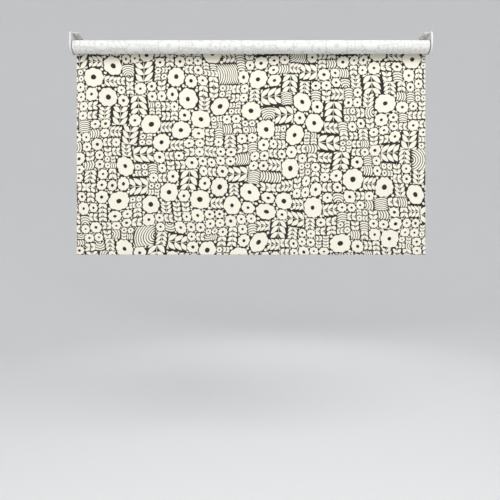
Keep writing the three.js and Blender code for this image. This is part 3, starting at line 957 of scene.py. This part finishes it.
WHITE_STEEL = Coating("white_powder_coat", Slot.WHITE_STEEL, (0.70, 0.70, 0.69),
                      (0.63, 0.63, 0.61), rough=0.42, grain_mm=0.5, depth_mm=0.05, wear_and_highlight=0.35)
WHITE_PLASTIC = Coating("white_moulding", Slot.WHITE_PLASTIC, (0.74, 0.74, 0.73),
                        (0.67, 0.665, 0.645), rough=0.38, grain_mm=0.22, depth_mm=0.02,
                        wear_and_highlight=0.5, coat=0.1)
GREY_PLASTIC = Coating("grey_moulding", Slot.GREY_PLASTIC, (0.28, 0.29, 0.30),
                       (0.22, 0.225, 0.23), rough=0.5, grain_mm=0.25, depth_mm=0.03)
NYLON = Coating("natural_nylon", Slot.NYLON, (0.76, 0.73, 0.63), (0.68, 0.65, 0.54),
                rough=0.45, grain_mm=0.3, depth_mm=0.02)
ZINC_STEEL = Metal("zinc_plate", Slot.ZINC_STEEL, (0.58, 0.60, 0.62), (0.48, 0.48, 0.46),
                   rough=0.28)
SPRING_STEEL = Metal("oiled_spring_wire", Slot.SPRING_STEEL, (0.27, 0.27, 0.28),
                     (0.16, 0.14, 0.12), rough=0.3, line_stretch=(3.0, 0.6, 0.6))
ALUMINIUM = Metal("mill_aluminium", Slot.ALUMINIUM, (0.68, 0.69, 0.70), (0.58, 0.59, 0.60),
                  rough=0.32, line_stretch=(0.02, 3.0, 3.0))
PAPER = Paper("studio_ground", Slot.CLOTH_BACK, (0.78, 0.785, 0.79))


# ------------------------------------------------------------------ pieces


def attach(piece: bpy.types.Object, body: Body, slot: Slot, *nodes: str) -> None:
    """Puts a piece on its body, in place of the frame's nodes that it stands for.

    Args:
        piece: the finished piece.
        body: what it moves with.
        slot: the record's slot that its finish comes from; it is not used.
        nodes: the frame's nodes that it replaces.
    """
    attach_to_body(piece, body.value)
    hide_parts(*nodes)


def carry(frame: dict, finishes: dict[str, Finish]) -> None:
    """Gives the frame's own nodes their finishes.

    Args:
        frame: the loaded frame.
        finishes: the finish of each node, by the node's name.
    """
    for name, finish in finishes.items():
        for place in frame["nodes"][name].material_slots:
            place.link = "OBJECT"
            place.material = finish.material()
        LOG.info("%s carried over in %s", name, finish.name)


def object_from(draft: bmesh.types.BMesh, name: str, *finishes: Finish) -> bpy.types.Object:
    """Turns a drafted mesh into an object in the scene.

    Args:
        draft: the mesh, which is used up.
        name: the object's name.
        finishes: its finishes, in the order of the faces' material numbers.

    Returns:
        The new object.
    """
    bmesh.ops.recalc_face_normals(draft, faces=draft.faces)
    mesh = bpy.data.meshes.new(name)
    draft.to_mesh(mesh)
    draft.free()
    for finish in finishes:
        mesh.materials.append(finish.material())
    piece = bpy.data.objects.new(name, mesh)
    bpy.context.scene.collection.objects.link(piece)
    return piece


@dataclass(frozen=True)
class Easing:
    """How far a made piece's corners are eased, and its folds bent.

    Points nearer to each other than weld are merged first. The easing is clamped where it would
    otherwise shrink round a short edge, at the cost of a smaller round everywhere.
    """

    edge: float = 0.25 * MM
    edge_steps: int = 2
    fold: float = 0.0
    fold_steps: int = 5
    sharp: float = math.radians(38)
    weld: float = WELD_DISTANCE
    clamped: bool = True

    def copy_of(self, source: bpy.types.Object, name: str, finish: Finish,
                is_fold: FoldTest) -> bpy.types.Object:
        """A node's shape with its corners eased and its folds bent.

        Args:
            source: the frame's node.
            name: the new piece's name.
            finish: the new piece's finish.
            is_fold: says from an edge's middle whether it is a fold.

        Returns:
            The new piece.
        """
        draft = bmesh.new()
        draft.from_mesh(source.data)
        bmesh.ops.remove_doubles(draft, verts=draft.verts, dist=self.weld)
        bmesh.ops.dissolve_degenerate(draft, dist=self.weld, edges=draft.edges)
        bmesh.ops.dissolve_limit(draft, angle_limit=FLAT_ANGLE, verts=draft.verts,
                                 edges=draft.edges)
        for face in draft.faces:
            face.smooth = True
        if self.fold:
            folds = [edge for edge in self.corners(draft)
                     if is_fold((edge.verts[0].co + edge.verts[1].co) / 2)]
            self.bevel(draft, folds, self.fold, self.fold_steps, False)
            bmesh.ops.dissolve_degenerate(draft, dist=FOLD_SLIVER, edges=draft.edges)
        self.bevel(draft, self.corners(draft), self.edge, self.edge_steps, self.clamped)
        bmesh.ops.dissolve_degenerate(draft, dist=SLIVER, edges=draft.edges)
        piece = object_from(draft, name, finish)
        level = piece.modifiers.new("even shading", "WEIGHTED_NORMAL")
        level.weight = EVEN_WEIGHT
        return piece

    def corners(self, draft: bmesh.types.BMesh) -> list[bmesh.types.BMEdge]:
        """The edges where two faces meet sharply."""
        return [edge for edge in draft.edges
                if len(edge.link_faces) == 2 and edge.calc_face_angle() > self.sharp]

    def bevel(self, draft: bmesh.types.BMesh, edges: list[bmesh.types.BMEdge], reach: float,
              steps: int, clamped: bool) -> None:
        """Rounds some edges.

        Args:
            draft: the mesh.
            edges: the edges to round.
            reach: the round's size.
            steps: how many facets it has.
            clamped: whether every round shrinks to what the shortest edge can take.
        """
        if edges:
            bmesh.ops.bevel(draft, geom=edges, offset=reach, offset_type="OFFSET", segments=steps,
                            profile=0.5, affect="EDGES", clamp_overlap=clamped)


def ease(frame: dict, node: str, name: str, easing: Easing, finish: Finish, body: Body,
         is_fold: FoldTest = lambda middle: False) -> None:
    """Builds the eased copy of a node and puts it on its body.

    Args:
        frame: the loaded frame.
        node: the node's name.
        name: the new piece's name.
        easing: how its corners are eased.
        finish: its finish.
        body: what it moves with.
        is_fold: says from an edge's middle whether it is a fold.
    """
    piece = easing.copy_of(frame["nodes"][node], name, finish, is_fold)
    attach(piece, body, finish.slot, node)
    LOG.info("%s built", piece.name)


@dataclass(frozen=True)
class Ribbon:
    """A strip of cloth with real thickness, run along X from a line drawn in the (Y, Z) plane."""

    thickness: float
    columns: int

    def draft(self, line: Sequence[Point], ends: Callable[[int], tuple[float, float]],
              face_number: int, back_number: int) -> bmesh.types.BMesh:
        """Builds the strip as one closed mesh.

        Args:
            line: the middle of the cloth, point by point. Its face is on the right of the way
                it runs, seen from +X.
            ends: gives the two X ends of the strip at a point's number.
            face_number: the material number of the face.
            back_number: the material number of the back and the cut edges.

        Returns:
            The mesh.
        """
        draft = bmesh.new()
        face_rows, back_rows = [], []
        last = len(line) - 1
        for number, (y, z) in enumerate(line):
            before, after = line[max(number - 1, 0)], line[min(number + 1, last)]
            dy, dz = after[0] - before[0], after[1] - before[1]
            size = math.hypot(dy, dz)
            out_y, out_z = dz / size, -dy / size
            start, end = ends(number)
            for rows, reach in ((face_rows, self.thickness / 2), (back_rows, -self.thickness / 2)):
                rows.append([draft.verts.new((start + (end - start) * column / self.columns,
                                              y + out_y * reach, z + out_z * reach))
                             for column in range(self.columns + 1)])
        self.skin(draft, face_rows, face_number)
        self.skin(draft, back_rows, back_number)
        for column in (0, self.columns):
            self.skin(draft, [[row[column] for row in face_rows],
                              [row[column] for row in back_rows]], back_number, flat=True)
        for number in (0, last):
            self.skin(draft, [face_rows[number], back_rows[number]], back_number, flat=True)
        return draft

    def skin(self, draft: bmesh.types.BMesh, rows: Sequence[Sequence[bmesh.types.BMVert]],
             number: int, flat: bool = False) -> None:
        """Fills a grid of corners with faces.

        Args:
            draft: the mesh.
            rows: the corners, row by row.
            number: the faces' material number.
            flat: whether the faces keep a hard edge round them.
        """
        for upper, lower in zip(rows, rows[1:]):
            for i in range(len(upper) - 1):
                face = draft.faces.new((upper[i], upper[i + 1], lower[i + 1], lower[i]))
                face.material_index = number
                face.smooth = not flat
                if flat:
                    for edge in face.edges:
                        edge.smooth = False


@dataclass(frozen=True)
class BlindSizes:
    """The sizes that several pieces share, read from the frame."""

    left: float
    right: float
    axis_z: float
    roll_radius: float
    sheet_middle: float
    thickness: float
    hem_top: float
    hem_bottom: float
    hem_back: float

    @classmethod
    def from_frame(cls) -> "BlindSizes":
        """Reads the boxes of the frame's soft nodes.

        Returns:
            The sizes.
        """
        roll_low, roll_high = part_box("fabric_roll")
        drop_low, drop_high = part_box("fabric_drop")
        hem_low, hem_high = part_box("hem_pocket")
        return cls(left=roll_low.x, right=roll_high.x, axis_z=(roll_low.z + roll_high.z) / 2,
                   roll_radius=(roll_high.z - roll_low.z) / 2,
                   sheet_middle=(drop_low.y + drop_high.y) / 2,
                   thickness=drop_high.y - drop_low.y,
                   hem_top=hem_high.z, hem_bottom=hem_low.z, hem_back=hem_high.y)


@dataclass
class Brackets:
    """The two steel brackets, their clip-on covers, and the bush that the idle pin turns in."""

    frame: dict
    plate: Easing = Easing(edge=0.22 * MM, fold=1.1 * MM, weld=0.13 * MM)
    cover: Easing = Easing(edge=0.22 * MM, fold=0.9 * MM, weld=0.13 * MM)
    slack: float = 0.02 * MM

    def build(self) -> None:
        """Builds both ends."""
        for side in Side:
            self.bracket(side)
            self.cap(side)
        carry(self.frame, {"right_bracket_bush": NYLON})

    def bracket(self, side: Side) -> None:
        """One bracket, bent where its flanges leave the plate.

        Args:
            side: the blind's end.
        """
        node = f"{side.name.lower()}_bracket"
        low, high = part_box(node)
        outer = high.x if side is Side.RIGHT else low.x

        def is_fold(middle: Vector) -> bool:
            """Whether an edge lies on two of the bracket's three outer faces."""
            gaps = (middle.x - outer, middle.y - high.y, middle.z - high.z)
            return sum(abs(gap) < self.slack for gap in gaps) >= 2

        ease(self.frame, node, f"bent_{node}", self.plate, WHITE_STEEL, Body.BRACKETS, is_fold)

    def cap(self, side: Side) -> None:
        """One cover, with its outer corner rounded all the way along the rim.

        Args:
            side: the blind's end.
        """
        node = f"{side.name.lower()}_bracket_cover"
        low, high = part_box(node)
        outer = high.x if side is Side.RIGHT else low.x

        def is_fold(middle: Vector) -> bool:
            """Whether an edge lies on the rim's outer corner."""
            inside = middle.z < high.z - self.slack and middle.y < high.y - self.slack
            return abs(middle.x - outer) < self.slack and inside

        ease(self.frame, node, f"moulded_{node}", self.cover, WHITE_PLASTIC, Body.BRACKETS,
             is_fold)


PLUG_EASING = Easing(edge=0.2 * MM, weld=0.16 * MM, clamped=False)


@dataclass
class SpringEnd:
    """The left end's plug, spindle, brake and torsion spring."""

    frame: dict

    def build(self) -> None:
        """Eases the plug, and dresses what is inside the tube."""
        ease(self.frame, "spring_end_plug", "moulded_spring_end_plug", PLUG_EASING, WHITE_PLASTIC,
             Body.ROLLER)
        carry(self.frame, {
            "spindle": ZINC_STEEL, "thrust_washer": NYLON, "brake_drum": ZINC_STEEL,
            "spring_collar": ZINC_STEEL, "spindle_clip": SPRING_STEEL, "spindle_bush": NYLON,
            "brake_spring": SPRING_STEEL, "brake_housing": GREY_PLASTIC,
            "torsion_spring": SPRING_STEEL, "spring_anchor": GREY_PLASTIC,
        })


@dataclass
class IdleEnd:
    """The right end's plug and its sprung pin."""

    frame: dict
    wire: Easing = Easing(edge=0.04 * MM, edge_steps=1)

    def build(self) -> None:
        """Eases the plug, builds the pin's spring coil, and dresses the pin."""
        ease(self.frame, "idle_end_plug", "moulded_idle_end_plug", PLUG_EASING, WHITE_PLASTIC,
             Body.ROLLER)
        node = "idle_pin_spring"
        coil = self.wire.copy_of(self.frame["nodes"][node], "coiled_pin_spring", SPRING_STEEL,
                                 lambda middle: False)
        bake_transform(coil)
        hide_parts(node)
        LOG.info("%s built", coil.name)
        carry(self.frame, {"idle_pin": ZINC_STEEL, "idle_pin_retainer": GREY_PLASTIC})


@dataclass
class Roll:
    """The tube, its fixing spline and the cloth wound on it."""

    frame: dict
    sizes: BlindSizes
    back: Cloth
    turns: float = 9.25
    steps_per_turn: int = 72
    layer_share: float = 0.85
    edge_waver: float = 0.18 * MM
    waver_rates: Point = (0.83, 0.31)
    groove_side: float = 1.35 * MM
    groove_floor: float = 12.8 * MM
    columns: int = 8

    def build(self) -> None:
        """Winds the cloth from the tangent line over the top and in to the tube's groove."""
        line = self.spiral()
        ribbon = Ribbon(self.sizes.thickness * self.layer_share, self.columns)
        draft = ribbon.draft(line, self.ends, 0, 0)
        piece = object_from(draft, "wound_cloth", self.back)
        attach(piece, Body.ROLLER, Slot.CLOTH_BACK, "fabric_roll")
        carry(self.frame, {"roller_tube": ALUMINIUM, "fixing_spline": NYLON})

    def spiral(self) -> list[Point]:
        """The middle of the wound cloth, from its outer end inwards.

        Returns:
            Points in the (Y, Z) plane.
        """
        steps = round(self.turns * self.steps_per_turn)
        outer = self.sizes.roll_radius - self.sizes.thickness * self.layer_share / 2
        inner = outer - self.sizes.thickness * self.turns
        line = []
        for step in range(steps + 1):
            share = step / steps
            angle = math.tau * self.turns * share
            radius = outer + (inner - outer) * share
            point = (radius * math.cos(angle), self.sizes.axis_z + radius * math.sin(angle))
            if step < steps - 1 or point[0] > self.groove_side:
                line.append(point)
        mouth = inner - self.sizes.thickness
        for radius in (mouth, (mouth + self.groove_floor) / 2, self.groove_floor):
            line.append((self.groove_side, self.sizes.axis_z + radius))
        return line

    def ends(self, number: int) -> tuple[float, float]:
        """The strip's two ends along X at a point, wavering as wound edges do.

        Args:
            number: the point's number.

        Returns:
            The left end and the right end.
        """
        angle = math.tau * number / self.steps_per_turn
        fast, slow = self.waver_rates
        waver = self.edge_waver * (0.5 + 0.5 * math.sin(fast * angle) * math.cos(slow * angle))
        return self.sizes.left + waver, self.sizes.right - self.edge_waver + waver


@dataclass
class HangingCloth:
    """The cloth from the roll down, round the weight bar and up to the hem's weld.

    Each of its waves is a length along the roller and a phase.
    """

    sizes: BlindSizes
    face: Cloth
    back: Cloth
    rows: int = 60
    columns: int = 72
    bend_steps: int = 14
    weld_height: float = 9 * MM
    bar_height: float = 26 * MM
    ply_gap: float = 0.02 * MM
    roll_gap: float = 0.02 * MM
    easing_out: float = 110 * MM
    billow: float = 0.35 * MM
    waves: tuple[Point, Point] = ((0.37, 0.6), (0.149, 2.2))
    second_wave: float = 0.5
    edge_curl: float = 0.45 * MM
    curl_width: float = 9 * MM

    def build(self) -> None:
        """Builds the cloth in place of the frame's drop and hem pocket."""
        sizes = self.sizes
        line = self.line()
        draft = Ribbon(sizes.thickness, self.columns).draft(line, self.ends, 0, 1)
        for vertex in draft.verts:
            vertex.co.y += self.billowed(vertex.co.x, self.share(vertex.co.z))
        piece = object_from(draft, "hanging_cloth", self.face, self.back)
        self.follow(piece)
        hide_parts("fabric_drop", "hem_pocket")

    def share(self, z: float) -> float:
        """How far down from the roll to the hem a height is, from 0 to 1."""
        drop = self.sizes.axis_z - self.sizes.hem_top
        return min(1.0, max(0.0, (self.sizes.axis_z - z) / drop))

    def line(self) -> list[Point]:
        """The middle of the cloth, from the roll down and round to its cut edge at the weld.

        Returns:
            Points in the (Y, Z) plane.
        """
        sizes = self.sizes
        half = sizes.thickness / 2
        start = sizes.roll_radius + self.roll_gap + half
        drop = sizes.axis_z - sizes.hem_top
        line = []
        for row in range(self.rows + 1):
            down = drop * row / self.rows
            settle = smooth(min(1.0, down / self.easing_out))
            line.append((start + (sizes.sheet_middle - start) * settle, sizes.axis_z - down))
        weld_foot = sizes.hem_top - self.weld_height
        front = sizes.sheet_middle
        back = sizes.hem_back - half
        bend = (back - front) / 2
        centre_y = (front + back) / 2
        centre_z = sizes.hem_bottom + half + bend
        shoulder = sizes.hem_bottom + self.bar_height + bend
        line += [(front, weld_foot), (front, shoulder), (front, (shoulder + centre_z) / 2)]
        for step in range(self.bend_steps + 1):
            angle = math.pi * (1 + step / self.bend_steps)
            line.append((centre_y + bend * math.cos(angle), centre_z + bend * math.sin(angle)))
        ply = front + sizes.thickness + self.ply_gap
        line += [(back, (shoulder + centre_z) / 2), (back, shoulder)]
        line += self.lead_in((back, shoulder), (ply, weld_foot))
        line += [(ply, weld_foot + self.weld_height / 2), (ply, sizes.hem_top)]
        return line

    def lead_in(self, start: Point, end: Point, steps: int = 5) -> list[Point]:
        """A soft slope between two upright stretches.

        Args:
            start: its first point.
            end: its last point.
            steps: how many points it takes.

        Returns:
            The points after the start.
        """
        points = []
        for step in range(1, steps + 1):
            share = step / steps
            points.append((start[0] + (end[0] - start[0]) * smooth(share),
                           start[1] + (end[1] - start[1]) * share))
        return points

    def ends(self, number: int) -> tuple[float, float]:
        """The strip's two ends along X, the same all the way down."""
        return self.sizes.left, self.sizes.right

    def billowed(self, x: float, share: float) -> float:
        """How far the cloth stands off its plane.

        Args:
            x: the place along the roller.
            share: how far down the place is, from 0 at the roll to 1 at the hem.

        Returns:
            The distance along Y.
        """
        slack = math.sin(math.pi * share)
        first, second = (math.sin(x * math.tau / long + phase) for long, phase in self.waves)
        wave = first + self.second_wave * second
        inset = min(x - self.sizes.left, self.sizes.right - x)
        curl = math.exp(-inset / self.curl_width)
        return slack * (self.billow * wave + self.edge_curl * curl)

    def follow(self, piece: bpy.types.Object) -> None:
        """Bunches the cloth's rows, bakes its placement into its mesh, and puts the rows back.

        A blend eases in and out, which would fold a cloth that is drawn nearly all the way up. The
        rows are bunched by the amount that would make such a blend even, but no blend is set, and
        then they are put back.

        Args:
            piece: the cloth.
        """
        heights = [vertex.co.z for vertex in piece.data.vertices]
        drop = self.sizes.axis_z - self.sizes.hem_top
        for vertex, height in zip(piece.data.vertices, heights):
            share = self.share(height)
            if 0 < share < 1:
                bunched = 0.5 - math.sin(math.asin(1 - 2 * share) / 3)
                vertex.co.z = self.sizes.axis_z - drop * bunched
        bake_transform(piece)
        for vertex, height in zip(piece.data.vertices, heights):
            vertex.co.z = height


@dataclass
class WeightBar:
    """The flat bar in the hem and its end caps."""

    frame: dict
    easing: Easing = Easing(edge=0.18 * MM, weld=0.05 * MM, clamped=False)

    def build(self) -> None:
        """Eases the caps and dresses the bar."""
        for side in Side:
            node = f"bar_cap_{side.name.lower()}"
            ease(self.frame, node, f"moulded_{node}", self.easing, WHITE_PLASTIC, Body.HEM)
        carry(self.frame, {"bottom_bar": ALUMINIUM})


# ------------------------------------------------------------------ studio


@dataclass
class Studio:
    """The camera, the lights and a pale round cove that stands well clear of the blind."""

    centre: Vector
    eye_back: float = 1.241
    eye_z: float = -0.6047
    lens: float = 32.5
    shift: Point = (-0.002, 0.008)
    daylight: float = 0.72
    floor_z: float = -1.30
    floor_rings: tuple[float, ...] = (0.35, 0.7, 1.0)
    cove_radius: float = 4.2
    cove_round: float = 1.6
    cove_height: float = 4.8

    def build(self) -> None:
        """Sets up everything that isn't the blind."""
        self.cove()
        self.camera()
        self.lamps()
        scene = bpy.context.scene
        scene.view_settings.view_transform = "Standard"
        world = bpy.data.worlds.new("studio")
        world.use_nodes = True
        ground = world.node_tree.nodes["Background"]
        ground.inputs["Color"].default_value = (1.0, 1.0, 1.0, 1.0)
        ground.inputs["Strength"].default_value = self.daylight
        scene.world = world

    def camera(self) -> None:
        """A level camera straight in front of the blind's middle, at the hem's height."""
        data = bpy.data.cameras.new("camera")
        data.lens = self.lens
        data.shift_x, data.shift_y = self.shift
        camera = bpy.data.objects.new("camera", data)
        camera.location = (self.centre.x, -self.eye_back, self.eye_z)
        camera.rotation_euler = (math.pi / 2, 0, 0)
        bpy.context.scene.collection.objects.link(camera)
        bpy.context.scene.camera = camera

    def lamps(self) -> None:
        """A large soft key from the front and above, and a weaker fill from the left and the back."""
        self.lamp("key", offset=(0.45, -1.9, 1.45), size=(2.4, 1.2), watts=47.0)
        self.lamp("fill_left", offset=(-2.0, -1.6, 0.0), size=(1.6, 1.6), watts=8.0)
        self.lamp("fill_back", offset=(0.4, 2.4, 0.8), size=(2.2, 1.6), watts=14.0)

    def lamp(self, name: str, offset: tuple[float, float, float], size: Point, watts: float
             ) -> None:
        """One area lamp that points at the blind.

        Args:
            name: its name.
            offset: where it stands, from the blind's middle.
            size: its width and height.
            watts: its power.
        """
        data = bpy.data.lights.new(name, "AREA")
        data.shape = "RECTANGLE"
        data.size, data.size_y = size
        data.energy = watts
        lamp = bpy.data.objects.new(name, data)
        lamp.location = self.centre + Vector(offset)
        aim = self.centre - lamp.location
        lamp.rotation_euler = aim.to_track_quat("-Z", "Y").to_euler()
        bpy.context.scene.collection.objects.link(lamp)

    def cove(self, sides: int = 96, steps: int = 16) -> None:
        """A round floor that sweeps up into a wall.

        Args:
            sides: facets round it.
            steps: facets in the sweep.
        """
        flat = self.cove_radius - self.cove_round
        profile = [(flat * share, self.floor_z) for share in self.floor_rings]
        for step in range(1, steps + 1):
            angle = math.pi / 2 * step / steps
            profile.append((flat + self.cove_round * math.sin(angle),
                            self.floor_z + self.cove_round * (1 - math.cos(angle))))
        profile.append((self.cove_radius, self.floor_z + self.cove_height))
        draft = bmesh.new()
        middle = draft.verts.new((self.centre.x, self.centre.y, self.floor_z))
        rings = []
        for radius, z in profile:
            rings.append([draft.verts.new((self.centre.x + radius * math.cos(math.tau * i / sides),
                                           self.centre.y + radius * math.sin(math.tau * i / sides),
                                           z)) for i in range(sides)])
        for i in range(sides):
            draft.faces.new((middle, rings[0][i], rings[0][(i + 1) % sides]))
        for inner, outer in zip(rings, rings[1:]):
            for i in range(sides):
                j = (i + 1) % sides
                draft.faces.new((inner[i], outer[i], outer[j], inner[j]))
        for face in draft.faces:
            face.smooth = True
        floor = object_from(draft, "studio_floor", PAPER)


def cloths(sizes: BlindSizes) -> tuple[Cloth, Cloth, Cloth]:
    """The cloth's finishes.

    Args:
        sizes: the shared sizes.

    Returns:
        The printed face, the back where it hangs, and the back where it is wound.
    """
    ivory, blush, charcoal = (0.87, 0.835, 0.72), (0.83, 0.765, 0.69), (0.014, 0.012, 0.009)
    white, grey = (0.83, 0.83, 0.815), (0.54, 0.54, 0.535)
    face = Cloth("printed_face", Slot.PRINTED_CLOTH, Body.HEM, ivory, blush, charcoal,
                 ink_share=1.0, soft_mm=0.3, sheen=0.02, hem_z_mm=sizes.hem_top / MM)
    back = Cloth("coated_back", Slot.CLOTH_BACK, Body.HEM, white, white, grey,
                 ink_share=0.55, soft_mm=1.1, sheen=0.08, hem_z_mm=sizes.hem_top / MM)
    wound = replace(back, name="coated_back_wound", follows=Body.ROLLER, hem_z_mm=None,
                    axis_z_mm=sizes.axis_z / MM, radius_mm=sizes.roll_radius / MM)
    return face, back, wound


def main() -> None:
    """Loads the frame and builds each part of the blind in order."""
    logging.basicConfig(level=logging.INFO, format="%(name)s: %(message)s")
    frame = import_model()
    sizes = BlindSizes.from_frame()
    face, back, wound = cloths(sizes)
    middle = Vector(((sizes.left + sizes.right) / 2, 0.0, (sizes.axis_z + sizes.hem_bottom) / 2))
    Studio(middle).build()
    Brackets(frame).build()
    SpringEnd(frame).build()
    IdleEnd(frame).build()
    Roll(frame, sizes, wound).build()
    HangingCloth(sizes, face, back).build()
    WeightBar(frame).build()
    LOG.info("size written")


if __name__ == "__main__":
    main()
